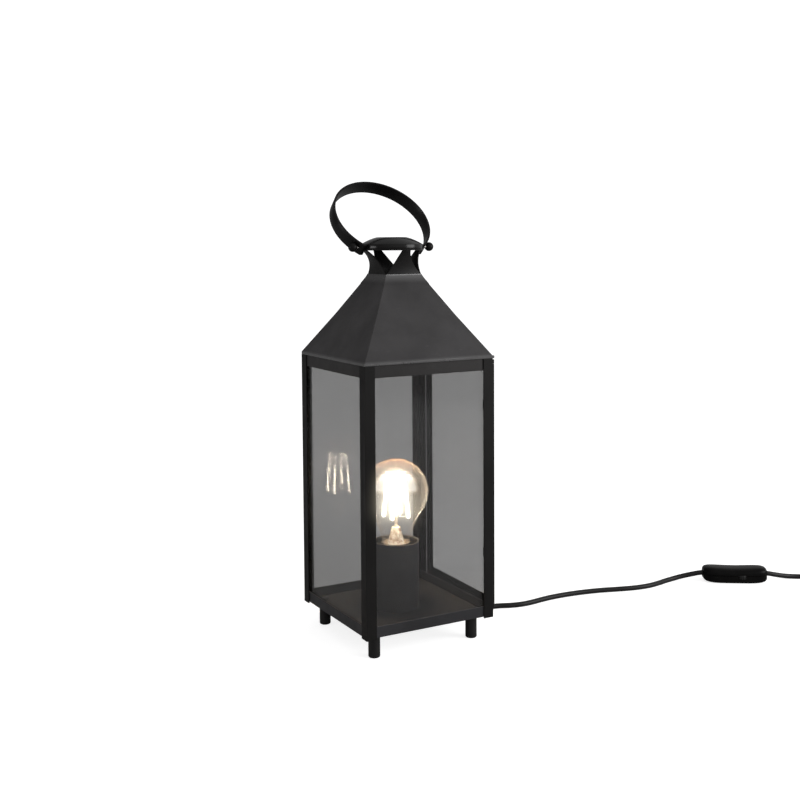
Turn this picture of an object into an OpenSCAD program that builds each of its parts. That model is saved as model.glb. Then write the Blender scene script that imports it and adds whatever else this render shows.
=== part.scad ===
// Lantern table lamp: a square sheet-steel lantern with smoked panes, a glazed door, a roof with a
// petal crown and cap, a carrying ring, a filament bulb on a tube, and a cord with an in-line switch.
// Millimetres, +Z up. The lantern stands on the plane z = 0.

/* [Lantern] */
// Width across the corner posts
body_w = 130; // [120:1:140]
// Underside of the tray above the table
tray_z = 21.7; // [18:0.1:26]
// Height of the tray's rim
tray_rim = 9.8; // [7:0.2:12]
// Thickness of the tray's floor
tray_floor = 1.5; // [1:0.1:2]
// Top of the corner posts
post_top = 257.5; // [245:0.5:275]
// Flange width of the corner posts
post_leg = 10; // [8:0.5:11]
// Thickness of the sheet steel
sheet = 1; // [0.8:0.1:1.2]
// Height of the rail under the roof
rail_h = 10.6; // [8:0.2:14]
// Width of the inward flange of that rail
rail_flange = 8; // [5:0.5:12]

/* [Feet] */
// Diameter of a foot
foot_d = 10.5; // [8:0.5:12]
// Distance of a foot's centre from the lantern's faces
foot_inset = 14.8; // [13:0.2:20]
// Radius of the rounded edge under a foot
foot_edge = 1.5; // [0.5:0.1:2.5]

/* [Glass] */
// Thickness of the panes
pane_t = 2; // [1.6:0.1:2.2]
// Gap between neighbouring panes at a corner
pane_gap = 1; // [0.5:0.1:2]
// How far a fixed pane ends below the post tops
pane_drop = 5; // [3:0.5:7]
// Height of a pane clip
clip_h = 8; // [5:0.5:12]
// Length of a pane clip's arm
clip_arm = 7; // [5:0.5:10]
// Thickness of a pane clip
clip_t = 0.8; // [0.5:0.1:1]

/* [Door] */
// Angle at which the door stands ajar
door_ajar = 1.9; // [0.5:0.1:6]
// Depth of the door's channel frame
door_depth = 3; // [2.8:0.1:4]
// Width of the door's channel frame
door_strip = 8; // [6:0.5:10]
// How deep the glass sits in the channel
door_rebate = 4.5; // [3:0.5:5]
// How far the door reaches below the tray's rim
door_lap = 3.5; // [0.5:0.5:8]
// Gap between the closed door and the posts
door_gap = 0.3; // [0.3:0.1:0.6]
// Diameter of the hinge barrel
barrel_d = 3.4; // [3:0.1:3.8]
// Diameter of the hinge rod
hinge_rod_d = 1.8; // [1.4:0.1:2]
// Length of each fixed knuckle of the hinge
knuckle_l = 3.5; // [2.5:0.5:8]
// Distance of the hinge from the post's corner
hinge_inset = 4; // [3.6:0.1:5]
// Diameter of the catch magnet
magnet_d = 6; // [4:0.5:7]

/* [Roof] */
// Height of the turned-down hem of the roof
hem_h = 2.5; // [2:0.1:3.5]
// How far the eave reaches over the door
eave_door = 1.8; // [1:0.1:3]
// Height of the roof from the hem's lower edge to the neck
roof_h = 74.7; // [66:0.1:82]
// Half of the width of the square neck
neck_half = 18.4; // [16:0.1:20]
// Inward bow of the roof's slope at mid-height
roof_bow = 0.75; // [0:0.05:1.5]

/* [Crown and cap] */
// Height of the petals
crown_h = 22.8; // [20:0.1:26]
// Width of a petal's tip
petal_tip = 8; // [6:0.5:12]
// Inward bow of a petal's sides
petal_bow = 1.7; // [0:0.1:3]
// How far the cap sits off the lantern's axis, on its bent petals
cap_shift = -2.7; // [-4:0.1:0]
// Height of the collar that joins the petals
collar_h = 1.2; // [1:0.1:2]
// Radius of the cap
cap_r = 28.6; // [27:0.1:29]
// Height of the cap's skirt
cap_skirt = 5.4; // [5.2:0.1:7]
// Height of the cap's shoulder
cap_rise = 6.6; // [5:0.1:9]
// Radius of the cap's flat top
cap_top_r = 13.3; // [10:0.1:16]
// Outward bow of the cap's shoulder
cap_bow = 0.8; // [0.4:0.1:1.2]
// Thickness of the plate that closes the cap
cap_plate_t = 0.8; // [0.6:0.1:0.9]

/* [Carrying ring] */
// Radius of the ring at mid-thickness
ring_r = 46.7; // [44:0.1:52]
// Width of the ring's strip
ring_w = 12.7; // [10:0.1:14]
// Thickness of the ring's strip
ring_t = 2; // [1.6:0.1:2.2]
// Length of the spacer between the cap's skirt and the ring
spacer_l = 4.1; // [3.5:0.1:5.5]
// Angle at which the ring leans back
ring_lean = 43.3; // [20:0.1:80]
// Height of the pivot above the cap's lower edge
pivot_up = 3; // [2.8:0.1:3.2]
// Diameter of the pivot rod
pivot_rod_d = 3; // [2:0.1:3.2]
// Diameter of the ball at each end of the rod
ball_d = 8.4; // [7:0.1:9]
// Diameter of the spacers inside the ring
spacer_d = 5.2; // [4.6:0.1:6]

/* [Bulb and holder] */
// Diameter of the tube round the lampholder
tube_d = 42.4; // [40:0.2:50]
// Top of the tube above the table
tube_top = 85.5; // [82:0.5:90]
// Thickness of the tube's bottom plate
tube_base_t = 1.2; // [1:0.1:2]
// Diameter of the lampholder
holder_d = 38; // [34:0.5:39]
// Length of the lampholder
holder_l = 40.5; // [38:0.5:46]
// How far the lampholder sits below the tube's rim
holder_drop = 1; // [0:0.5:2]
// Wall of the brass screw shell
shell_t = 1.2; // [0.8:0.1:1.6]
// Diameter of the bulb's screw cap
bulb_cap_d = 26.4; // [26:0.1:26.8]
// Length of the bulb's screw cap
bulb_cap_l = 24; // [22:0.5:25]
// Diameter of the bulb
bulb_d = 60.5; // [55:0.5:64]
// Height of the bulb's widest place above its screw cap
bulb_reach = 47.5; // [44:0.5:52]
// Thickness of the bulb's glass
bulb_t = 0.8; // [0.6:0.1:1]
// Diameter of the threaded nipple
nipple_d = 10; // [9:0.5:12]
// Diameter of the nipple's bore
nipple_bore = 7; // [6:0.5:7.5]
// Diameter of a filament stick
filament_d = 2.2; // [1.5:0.1:3]
// Length of a filament stick, along the axis
filament_l = 40; // [34:1:42]
// Distance of the filament sticks' upper ends from the axis
filament_top_r = 8; // [6:0.5:14]
// Distance of the filament sticks' lower ends from the axis
filament_foot_r = 12; // [6:0.5:14]

/* [Cord] */
// Diameter of the cord
cord_d = 5.1; // [4.8:0.1:5.4]
// Step from one turn of the coil to the next, sideways and upward
coil_step = 5.6; // [5.6:0.1:6]
// Radius of the coil at the middle of its turns
coil_r = 30.6; // [29:0.1:32]
// Diameter of the round housing under the tray
outlet_d = 44; // [40:1:48]
// Height of the housing under the tray
outlet_h = 12.5; // [12:0.1:13]
// Length of the tapered boot on the housing
boot_l = 25; // [20:1:30]
// Diameter of the boot where it leaves the housing
boot_d = 8.4; // [7:0.1:9]

/* [Switch] */
// Length of the in-line switch
switch_l = 66.8; // [60:0.2:74]
// Width of the in-line switch
switch_w = 26; // [24:0.5:30]
// Height of the in-line switch
switch_h = 17.5; // [16.5:0.5:20]
// Corner radius of the in-line switch
switch_r = 10; // [8:0.5:10]
// Wall of the switch's shells
switch_wall = 2; // [1.6:0.1:2.4]
// Diameter of the thumbwheel
wheel_d = 14; // [12:0.5:16]
// Thickness of the thumbwheel
wheel_t = 4; // [3:0.2:4.4]
// How far the thumbwheel stands out of the side
wheel_out = 1.3; // [0.8:0.1:2]
// Distance of the thumbwheel's axis from the switch's middle
wheel_along = 6; // [2:0.5:10]

/* [Plug] */
// Length of the plug's body
plug_l = 30; // [26:1:36]
// Width of the plug's body
plug_w = 28; // [26:0.5:34]
// Height of the plug's body
plug_h = 14; // [13:0.5:16]
// Diameter of a plug pin
pin_d = 4; // [4:0.1:4.8]
// Length of a plug pin
pin_l = 19; // [17:0.5:20]
// Distance between the plug pins
pin_gap = 18.6; // [18:0.1:20]

/* [Hidden] */
$fn = 64;
run_fit = 0.05;      // radial clearance of a turning pin
screw_fit = 0.2;     // radial clearance of a screw in sheet
cut = 1;             // how far a cutting tool passes a face

// The lantern's axis lies off the origin, so that the origin is under the middle of its box.
axis_x = -4.1;

half = body_w / 2;                 // outer face of the posts
rail_face = half - sheet;          // outer face of tray and rails
inner_face = rail_face - sheet;    // inner face of tray and rails, outer face of the panes
foot_place = half - foot_inset;
floor_z = tray_z + tray_floor;     // top of the tray's floor
rim_z = tray_z + tray_rim;
post_foot = tray_z - 1.2;          // the posts end just below the tray
rail_z = post_top - rail_h;
corners = [[-1, -1], [1, -1], [1, 1], [-1, 1]];

foot_screw_d = 3;
foot_screw_l = 11;
foot_screw_head_d = 6;
foot_screw_head_h = 1.8;

pane_in = inner_face - pane_t;     // inner face of the panes
pane_half = pane_in - pane_gap;    // half of the width of a fixed pane
pane_top = post_top - pane_drop;
clip_low = [40, 55];               // heights of the lower clips above the tray, X and Y faces
clip_high = [205, 190];            // heights of the upper clips above the tray, X and Y faces

hinge_x = half + door_gap + barrel_d / 2;
hinge_y = -half + hinge_inset;
door_x = half + door_gap;          // inner face of the closed door
door_z = [rim_z - door_lap, post_top - 1.5];
door_y = [hinge_y + 2, half - 2.5];
knuckle_gap = 0.3;
knuckle_z = [door_z[0] + knuckle_l + knuckle_gap, door_z[1] - knuckle_l - knuckle_gap];
glass_play = 0.5;                  // play of the door's glass in its channel
glass_seat = door_strip - door_rebate;
magnet_inset = 15;                 // distance of the magnet from the lantern's face
magnet_y = half - magnet_inset;
magnet_z = post_top - rail_h / 2;
magnet_l = 6;

roof_z = post_top;
eave_z = roof_z + hem_h;
neck_z = roof_z + roof_h;
roof_mid_z = (eave_z + neck_z) / 2;
roof_mid_half = (half + neck_half) / 2 - roof_bow;
roof_slope = atan((neck_z - eave_z) / (half - neck_half));
roof_fall = sheet / cos(roof_slope);   // vertical thickness of the roof's slope
neck_bore = neck_half - sheet * 1.2;

cap_z = neck_z + crown_h;
petal_steps = 8;
cap_bore = cap_r - sheet;
cap_shoulder_z = cap_z + cap_skirt;
cap_under = sheet * 1.05;
pivot_z = cap_z + pivot_up;
ring_in = ring_r - ring_t / 2;
ring_out = ring_r + ring_t / 2;
skirt_gap = 0.3;                   // gap between the cap's skirt and a spacer or the strip's end
spacer_end = cap_r + skirt_gap + spacer_l;
ring_rise = sqrt(ring_in * ring_in - spacer_end * spacer_end); // from the pivot to the ring's centre
ring_end = cap_r + skirt_gap;      // inner face of the strip at its lower end
ring_tail = sqrt(ring_in * ring_in - ring_end * ring_end) - ring_rise;
ball_sink = 0.2;                   // how far a ball reaches into the strip, along the rod
ball_x = sqrt(ring_out * ring_out - ring_rise * ring_rise) + ball_d / 2 - ball_sink;
ball_seat_l = 2.2;                 // how far the rod ends inside a ball, past its centre

holder_top = tube_top - holder_drop;
holder_z = holder_top - holder_l;
holder_floor = 12;
collar_l = 2.5;
shell_top = holder_top - 1.5;
contact_t = 1;
socket_z = holder_z + holder_floor;
tip_l = 3;                         // length of the bulb's tip and insulator under its screw cap
cap_seat_z = socket_z + contact_t + tip_l;
cap_end_z = cap_seat_z + bulb_cap_l;
bulb_z = cap_end_z + bulb_reach;
bulb_r = bulb_d / 2;
bulb_cap_t = 0.5;
neck_r = bulb_cap_d / 2 - bulb_cap_t;
neck_in_cap = 6;
nut_w = 14;
nut_h = 4;
nipple_foot = tray_z - nut_h - 0.8;
nipple_top = holder_z + nut_h;
wire_d = 2;                        // insulated conductor
wire_place = 1.7;                  // distance of a conductor from the axis
stem_r = [9, 4];                   // radius of the glass stem, bottom and top
stem_l = 20;
stem_rod_d = 3;
stem_foot_t = 2;
tip_r = [4.8, 5.4];                // radius of the bulb's tip, and of its insulator at the tip
hub_up = 16;                       // height of the filaments' upper ends above the bulb's middle
hub_z = bulb_z + hub_up;
filament_count = 4;
lead_d = 0.8;
lead_in = 0.5;                     // distance of a lead from the end of its filament

outlet_t = 1.6;
boot_z = tray_z - 6.2;
boot_neck_d = 6.6;
boot_end_d = 6.4;
boot_flange_d = 9;
boot_flange_t = 1.5;
boot_shoulder = 1;                 // how far the boot's neck and sleeve overlap the wall's two faces
outlet_screw_d = 2.5;
outlet_screw_place = 15;
boss_d = 6.4;

// The route of the cord, in the part's own frame: from the boot's end to the switch
lead_route = [
    [52, 0, 15.2], [60, 0.2, 13.6], [67, 0.6, 11.2], [79, 2.4, 7.2], [91, 4.6, 4],
    [102, 5.6, 2.7], [113, 3.6, 2.6],
    [124, -0.9, 2.6], [136, -3.6, 2.6], [149, -3.4, 2.6], [161, -1.8, 2.6], [173, -0.7, 2.6],
    [186, -0.7, 2.6], [199, -1.7, 2.6], [212, -3.5, 2.6], [224, -5.9, 2.6], [236, -9.2, 2.6],
    [248, -13.2, 2.6], [260, -17, 2.6], [273, -19.8, 2.6], [286, -20.7, 2.6], [299, -19.2, 2.6],
    [311, -16.9, 2.7], [322, -16.2, 3.2], [332, -18, 4.6], [342, -22.9, 6.8]];
switch_middle = [380, -47.2];
switch_turn = -33.1;
switch_dir = [cos(switch_turn), sin(switch_turn), 0];
switch_z = switch_h / 2;
switch_in = [switch_middle[0], switch_middle[1], switch_z] - switch_l / 2 * switch_dir;
switch_out = [switch_middle[0], switch_middle[1], switch_z] + switch_l / 2 * switch_dir;
// From the switch to the coil, beyond the right edge of the view
tail_route = [[417, -69, 6.9], [428, -71, 4.4], [439, -74.2, 2.9], [449, -80.2, 2.6],
    [457, -89, 2.6], [464.5, -99, 2.6]];
// From the coil to the plug
end_route = [[543, -112.5, 6.4], [552.5, -103, 4.4], [560.5, -92, 3.6], [567, -80.5, 4.8]];
coil_middle = [508, -90];
coil_start = 214;
coil_turns = 6.25;
coil_climb = 180;                  // angle over which the coil climbs to its upper layer
plug_place = [573, -69];
plug_turn = 62;
plug_dir = [cos(plug_turn), sin(plug_turn), 0];
plug_z = plug_h / 2;
plug_relief_l = 18;
plug_relief_d = [6.6, 11];
plug_r = 5;

shell_gap = 0.3;                   // joint line between the switch's shells
wheel_z = 7.4;                     // middle of the thumbwheel
wheel_play = 0.3;
wheel_pin_d = 2.4;
wheel_post_d = 5.4;
wheel_y = -switch_w / 2 + wheel_d / 2 - wheel_out;
switch_screw_d = 2.4;
switch_screw_head_d = 4.6;
switch_screw_x = [-22, 24];
screw_boss_d = 5.4;

// ---- helpers ----

module at_axis() translate([axis_x, 0, 0]) children();

// A box from its lower and upper corners
module box(low, high) translate(low) cube(high - low);

// An upright square frustum about the axis, half-widths a at z0 and b at z1
module frustum(z0, a, z1, b) {
    module wedge() rotate([90, 0, 0]) translate([0, 0, -half * 2]) linear_extrude(half * 4)
        polygon([[-a, z0], [a, z0], [b, z1], [-b, z1]]);
    intersection() {
        wedge();
        rotate([0, 0, 90]) wedge();
    }
}

// A square ring of flat walls
module square_ring(out, in, z0, z1) difference() {
    box([-out, -out, z0], [out, out, z1]);
    box([-in, -in, z0 - cut], [in, in, z1 + cut]);
}

// A shaft along X between two places
module shaft_x(x0, x1, z, d) translate([x0, 0, z]) rotate([0, 90, 0]) cylinder(d = d, h = x1 - x0);

// A round bar between two points
module bar(from, to, d) {
    v = to - from;
    translate(from) rotate([0, acos(v[2] / norm(v)), atan2(v[1], v[0])]) cylinder(d = d, h = norm(v));
}

function unit(v) = v / norm(v);
function side_of(t) = unit(cross([0, 0, 1], t));

// The direction of a route at its point i; the two ends may have a direction of their own
function heading(p, i, first, last) =
    i == 0 ? (is_undef(first) ? unit(p[1] - p[0]) : first) :
    i == len(p) - 1 ? (is_undef(last) ? unit(p[i] - p[i - 1]) : last) :
    unit(unit(p[i + 1] - p[i]) + unit(p[i] - p[i - 1]));

// The corners of the tube's section round point c, square to direction t
function section(c, t, r, n) =
    [for (k = [0:n - 1]) c + r * (cos(360 * k / n) * side_of(t) + sin(360 * k / n) * cross(t, side_of(t)))];

// An unbroken tube along the points of a route
module tube(p, d, sides, first, last) {
    rings = len(p);
    points = [for (i = [0:rings - 1]) each section(p[i], heading(p, i, first, last), d / 2, sides)];
    walls = [for (i = [0:rings - 2], k = [0:sides - 1])
        let (a = i * sides + k, b = i * sides + (k + 1) % sides)
        each [[a, a + sides, b + sides], [a, b + sides, b]]];
    ends = [for (k = [1:sides - 2])
        each [[0, k, k + 1], [(rings - 1) * sides, (rings - 1) * sides + k + 1, (rings - 1) * sides + k]]];
    polyhedron(points = points, faces = concat(walls, ends));
}

// ---- body of the lantern ----

module corner_post(i) color("#33302e") at_axis() difference() {
    s = corners[i - 1];
    box([min(s[0] * half, s[0] * (half - post_leg)), min(s[1] * half, s[1] * (half - post_leg)), post_foot],
        [max(s[0] * half, s[0] * (half - post_leg)), max(s[1] * half, s[1] * (half - post_leg)), post_top]);
    box([-rail_face, -rail_face, post_foot - cut], [rail_face, rail_face, post_top + cut]);
}

module base_tray() color("#474246") at_axis() difference() {
    box([-rail_face, -rail_face, tray_z], [rail_face, rail_face, rim_z]);
    box([-inner_face, -inner_face, floor_z], [inner_face, inner_face, rim_z + cut]);
    translate([0, 0, tray_z - cut]) cylinder(d = nipple_d, h = tray_floor + 2 * cut);
    at_feet() translate([0, 0, tray_z - cut])
        cylinder(d = foot_screw_d + 2 * screw_fit, h = tray_floor + 2 * cut);
}

module at_feet() for (s = corners) translate([s[0] * foot_place, s[1] * foot_place, 0]) children();

module foot(i) color("#1c1a19") at_axis() {
    s = corners[i - 1];
    r = foot_d / 2;
    arc = [for (a = [-90:15:0]) [r - foot_edge + foot_edge * cos(a), foot_edge + foot_edge * sin(a)]];
    translate([s[0] * foot_place, s[1] * foot_place, 0]) difference() {
        rotate_extrude() polygon(concat([[0, 0]], arc, [[r, tray_z], [0, tray_z]]));
        translate([0, 0, floor_z - foot_screw_l]) cylinder(d = foot_screw_d, h = foot_screw_l + cut);
    }
}

module foot_screws() color("#8c8781") at_axis() at_feet() {
    translate([0, 0, floor_z - foot_screw_l]) cylinder(d = foot_screw_d, h = foot_screw_l);
    translate([0, 0, floor_z]) cylinder(d = foot_screw_head_d, h = foot_screw_head_h);
}

module top_frame() color("#33302e") at_axis() difference() {
    union() {
        square_ring(rail_face, inner_face, rail_z, post_top);
        square_ring(rail_face, inner_face - rail_flange, post_top - sheet, post_top);
    }
    translate([0, magnet_y, 0]) shaft_x(inner_face - cut, half, magnet_z, magnet_d);
}

// ---- fixed panes: -Y, +Y and -X, turned into place about the axis ----

pane_turn = [0, 180, -90];

module pane(i) color([0.2, 0.19, 0.19, 0.45]) at_axis() rotate([0, 0, pane_turn[i - 1]])
    box([-pane_half, -inner_face, floor_z], [pane_half, -pane_in, pane_top]);

// A bent clip at the right end of the -Y pane
module pane_clip(z) {
    box([rail_face - clip_t, -pane_in, z], [rail_face, -half + post_leg - 0.5, z + clip_h]);
    box([rail_face - clip_arm, -pane_in, z], [rail_face, -pane_in + clip_t, z + clip_h]);
}

module pane_clips() color("#2b2826") at_axis()
    for (i = [0:2], end = [0, 1], z = [clip_low, clip_high])
        rotate([0, 0, pane_turn[i]]) mirror([end, 0, 0]) pane_clip(tray_z + z[i == 2 ? 0 : 1]);

// ---- door ----

// Places a piece of the closed door where the door stands ajar
module ajar() translate([hinge_x, hinge_y, 0]) rotate([0, 0, -door_ajar])
    translate([-hinge_x, -hinge_y, 0]) children();

module door_frame() color("#33302e") at_axis() ajar() difference() {
    union() {
        box([door_x, door_y[0], door_z[0]], [door_x + door_depth, door_y[1], door_z[1]]);
        box([door_x, hinge_y, knuckle_z[0]], [door_x + door_depth, door_y[0], knuckle_z[1]]);
        translate([hinge_x, hinge_y, knuckle_z[0]]) cylinder(d = barrel_d, h = knuckle_z[1] - knuckle_z[0]);
    }
    box([door_x - cut, door_y[0] + door_strip, door_z[0] + door_strip],
        [door_x + door_depth + cut, door_y[1] - door_strip, door_z[1] - door_strip]);
    glass_space(0);
    translate([hinge_x, hinge_y, door_z[0] - cut])
        cylinder(d = hinge_rod_d + 2 * run_fit, h = door_z[1] - door_z[0] + 2 * cut);
}

// The space of the door's glass, smaller all round by an amount
module glass_space(less) {
    lip = (door_depth - pane_t) / 2;
    box([door_x + lip, door_y[0] + glass_seat + less, door_z[0] + glass_seat + less],
        [door_x + lip + pane_t, door_y[1] - glass_seat - less, door_z[1] - glass_seat - less]);
}

module door_glass() color([0.2, 0.19, 0.19, 0.45]) at_axis() ajar() glass_space(glass_play);

module hinge_rod() color("#8c8781") at_axis()
    translate([hinge_x, hinge_y, door_z[0]]) cylinder(d = hinge_rod_d, h = door_z[1] - door_z[0]);

module hinge_knuckles() color("#33302e") at_axis()
    for (z = [door_z[0], door_z[1] - knuckle_l]) difference() {
        union() {
            translate([hinge_x, hinge_y, z]) cylinder(d = barrel_d, h = knuckle_l);
            box([half, hinge_y - barrel_d / 2, z], [hinge_x, hinge_y + barrel_d / 2, z + knuckle_l]);
        }
        translate([hinge_x, hinge_y, z - cut]) cylinder(d = hinge_rod_d, h = knuckle_l + 2 * cut);
    }

module catch_magnet() color("#8c8781") at_axis()
    translate([0, magnet_y, 0]) shaft_x(half - magnet_l, half, magnet_z, magnet_d);

// ---- roof, crown and cap ----

module roof_solid() {
    frustum(eave_z, half, roof_mid_z, roof_mid_half);
    frustum(roof_mid_z, roof_mid_half, neck_z, neck_half);
}

module roof() color("#484442") at_axis() difference() {
    union() {
        box([-half, -half, roof_z], [half + eave_door, half, eave_z]);
        roof_solid();
    }
    box([-rail_face, -rail_face, roof_z - cut], [half + eave_door - sheet, rail_face, eave_z - sheet]);
    intersection() {
        translate([0, 0, -roof_fall]) roof_solid();
        box([-rail_face, -rail_face, roof_z], [rail_face, rail_face, neck_z]);
    }
    box([-neck_bore, -neck_bore, neck_z - 2 * roof_fall], [neck_bore, neck_bore, neck_z + cut]);
}

// One petal: a curved sheet that narrows to its tip, on the +X side of the neck. Its tip reaches
// out from the neck and lies aside from the middle
module petal(out, aside) {
    r = (out * out + crown_h * crown_h) / (2 * out);
    intersection() {
        translate([neck_half + r, 0, neck_z]) rotate([90, 0, 0]) difference() {
            cylinder(r = r + sheet, h = 4 * neck_half, center = true);
            cylinder(r = r, h = 4 * neck_half + cut, center = true);
        }
        rotate([90, 0, 90]) linear_extrude(neck_half + r) polygon(concat(
            [for (i = [0:petal_steps]) petal_edge(i / petal_steps, 1, aside)],
            [for (i = [petal_steps:-1:0]) petal_edge(i / petal_steps, -1, aside)]));
    }
}

// A point on a petal's edge, from its foot at t = 0 to its tip at t = 1
function petal_edge(t, side, aside) =
    [side * (neck_half * (1 - t) + petal_tip / 2 * t - petal_bow * 4 * t * (1 - t)) + aside * t,
     neck_z + crown_h * t];

module crown() color("#24211f") at_axis() {
    for (a = [0:90:270]) rotate([0, 0, a])
        petal(cap_r - neck_half + cap_shift * cos(a), -cap_shift * sin(a));
    square_ring(neck_half, neck_bore, neck_z, neck_z + collar_h);
}

function shoulder(t) =
    [cap_r + (cap_top_r - cap_r) * t, cap_shoulder_z + cap_rise * t + cap_bow * 4 * t * (1 - t)];

module at_cap() translate([cap_shift, 0, 0]) at_axis() children();

module cap_solid() rotate_extrude() polygon(concat(
    [[0, cap_z], [cap_r, cap_z]], [for (i = [0:8]) shoulder(i / 8)],
    [[0, cap_shoulder_z + cap_rise]]));

module cap() color("#2b2826") at_cap() difference() {
    cap_solid();
    intersection() {
        translate([0, 0, -cap_under]) cap_solid();
        translate([0, 0, cap_z - 2 * cap_under]) cylinder(r = cap_bore, h = cap_rise + cap_skirt + cut);
    }
    translate([0, 0, cap_z - cut]) cylinder(r = cap_bore, h = 2 * cut);
    shaft_x(-ball_x, ball_x, pivot_z, pivot_rod_d + 2 * run_fit);
}

module cap_plate() color("#2b2826") at_cap()
    translate([0, 0, cap_z]) cylinder(r = cap_bore, h = cap_plate_t);

// ---- carrying ring ----

// Places a piece of the upright ring, whose pivot is at the origin, where the ring leans
module leaned() translate([0, 0, pivot_z]) rotate([-ring_lean, 0, 0]) children();

module ring_disc(r, w) translate([0, 0, ring_rise]) rotate([90, 0, 0])
    cylinder(r = r, h = w, center = true, $fn = 128);

module handle_ring() color("#1f1d1c") at_cap() leaned() difference() {
    ring_disc(ring_out, ring_w);
    ring_disc(ring_in, ring_w + cut);
    translate([-ring_r, -ring_w, -ring_r]) cube([2 * ring_r, 2 * ring_w, ring_r - ring_tail]);
    for (x = [-ball_x, ball_x]) translate([x, 0, 0]) sphere(d = ball_d);
    shaft_x(-ball_x, ball_x, 0, pivot_rod_d);
}

module handle_rod() color("#8c8781") at_cap()
    shaft_x(-ball_x - ball_seat_l, ball_x + ball_seat_l, pivot_z, pivot_rod_d);

module handle_ball(i) color("#1f1d1c") at_cap() difference() {
    translate([i == 1 ? -ball_x : ball_x, 0, pivot_z]) sphere(d = ball_d);
    shaft_x(-ball_x - ball_seat_l, ball_x + ball_seat_l, pivot_z, pivot_rod_d);
}

module handle_spacers() color("#8c8781") at_cap() leaned()
    for (m = [0, 1]) mirror([m, 0, 0]) difference() {
        intersection() {
            shaft_x(cap_r + skirt_gap, ring_r, 0, spacer_d);
            ring_disc(ring_in, ring_w);
        }
        shaft_x(0, ring_r, 0, pivot_rod_d);
    }

// ---- lampholder ----

module lampholder_tube() color("#4a4748") at_axis() translate([0, 0, floor_z]) difference() {
    cylinder(d = tube_d, h = tube_top - floor_z);
    translate([0, 0, tube_base_t]) cylinder(d = tube_d - 2 * sheet, h = tube_top);
    translate([0, 0, -cut]) cylinder(d = nipple_d, h = tube_base_t + 2 * cut);
}

module nipple() color("#b8963c") at_axis() translate([0, 0, nipple_foot]) difference() {
    cylinder(d = nipple_d, h = nipple_top - nipple_foot);
    translate([0, 0, -cut]) cylinder(d = nipple_bore, h = nipple_top);
}

module nipple_nuts() color("#b8963c") at_axis()
    for (z = [tray_z - nut_h, floor_z + tube_base_t]) translate([0, 0, z]) difference() {
        cylinder(d = nut_w / cos(30), h = nut_h, $fn = 6);
        translate([0, 0, -cut]) cylinder(d = nipple_d, h = nut_h + 2 * cut);
    }

module lampholder() color("#1a1918") at_axis() difference() {
    union() {
        translate([0, 0, holder_z]) cylinder(d = holder_d, h = holder_l);
        translate([0, 0, holder_top - collar_l]) cylinder(d = tube_d - 2 * sheet, h = collar_l);
    }
    translate([0, 0, holder_z - cut]) cylinder(d = nipple_d, h = nipple_top - holder_z + cut);
    translate([0, 0, holder_z - cut]) cylinder(d = nipple_bore, h = holder_l);
    translate([0, 0, socket_z]) cylinder(d = bulb_cap_d + 2 * shell_t, h = holder_l);
}

module screw_shell() color("#c9a648") at_axis() difference() {
    translate([0, 0, socket_z]) cylinder(d = bulb_cap_d + 2 * shell_t, h = shell_top - socket_z);
    translate([0, 0, socket_z - cut]) cylinder(d = bulb_cap_d, h = holder_l);
}

module centre_contact() color("#c9a648") at_axis()
    translate([0, 0, socket_z]) cylinder(d = nipple_bore + 6, h = contact_t);

// From the boot's flange to the axis, and up through the nipple
module conductors() color("#3b5f8c") at_axis() for (y = [-wire_place, wire_place]) {
    bar([0, y, boot_z], [0, y, socket_z], wire_d);
    bar([0, y, boot_z], [outlet_d / 2 - outlet_t - boot_flange_t, y, boot_z], wire_d);
}

// ---- bulb ----

neck_flare = 0.15;                 // slope of the bulb's neck above its screw cap
join_angle = 35;                   // below the widest place, where the ball meets the neck
join_z = bulb_reach - bulb_r * sin(join_angle);
join_r = bulb_r * cos(join_angle);

// A smooth curve from a to b over a length l, with its slope at both ends
function blend(t, a, b, slope_a, slope_b, l) =
    a * (2 * t * t * t - 3 * t * t + 1) + slope_a * l * (t * t * t - 2 * t * t + t)
    + b * (3 * t * t - 2 * t * t * t) + slope_b * l * (t * t * t - t * t);

// Half of the bulb's section above its screw cap, smaller all round by an amount
function bulb_outline(less) = concat(
    [for (i = [0:10]) let (t = i / 10)
        [blend(t, neck_r, join_r, neck_flare, tan(join_angle), join_z) - less, join_z * t]],
    [for (a = [-28:7:84]) [(bulb_r - less) * cos(a), bulb_reach + (bulb_r - less) * sin(a)]],
    [[0, bulb_reach + bulb_r - less]]);

// The bulb's section down to the end of its neck inside the screw cap
module bulb_section(less, low) polygon(concat([[0, low], [neck_r - less, low]], bulb_outline(less)));

module bulb_glass() color([0.95, 0.85, 0.65, 0.35]) at_axis() translate([0, 0, cap_end_z])
    rotate_extrude() difference() {
        bulb_section(0, -neck_in_cap);
        bulb_section(bulb_t, -neck_in_cap - cut);
    }

module bulb_cap() color("#b9b4ac") at_axis() translate([0, 0, cap_seat_z]) difference() {
    cylinder(d = bulb_cap_d, h = bulb_cap_l);
    translate([0, 0, bulb_cap_t]) cylinder(r = neck_r, h = bulb_cap_l);
    translate([0, 0, -cut]) cylinder(r = stem_r[0], h = 2 * cut);
}

// The insulator and tip under the screw cap, down to the centre contact
module bulb_base() color("#151414") at_axis() translate([0, 0, socket_z + contact_t]) {
    cylinder(r = tip_r[0], h = tip_l / 3);
    translate([0, 0, tip_l / 3]) cylinder(r1 = tip_r[1], r2 = stem_r[0], h = tip_l * 2 / 3 + bulb_cap_t);
}

module bulb_stem() color([0.95, 0.92, 0.85, 0.5]) at_axis() {
    translate([0, 0, cap_end_z - neck_in_cap]) {
        cylinder(r = neck_r - bulb_t, h = stem_foot_t);
        cylinder(r1 = stem_r[0], r2 = stem_r[1], h = stem_l);
    }
    stem_rod();
}

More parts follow.
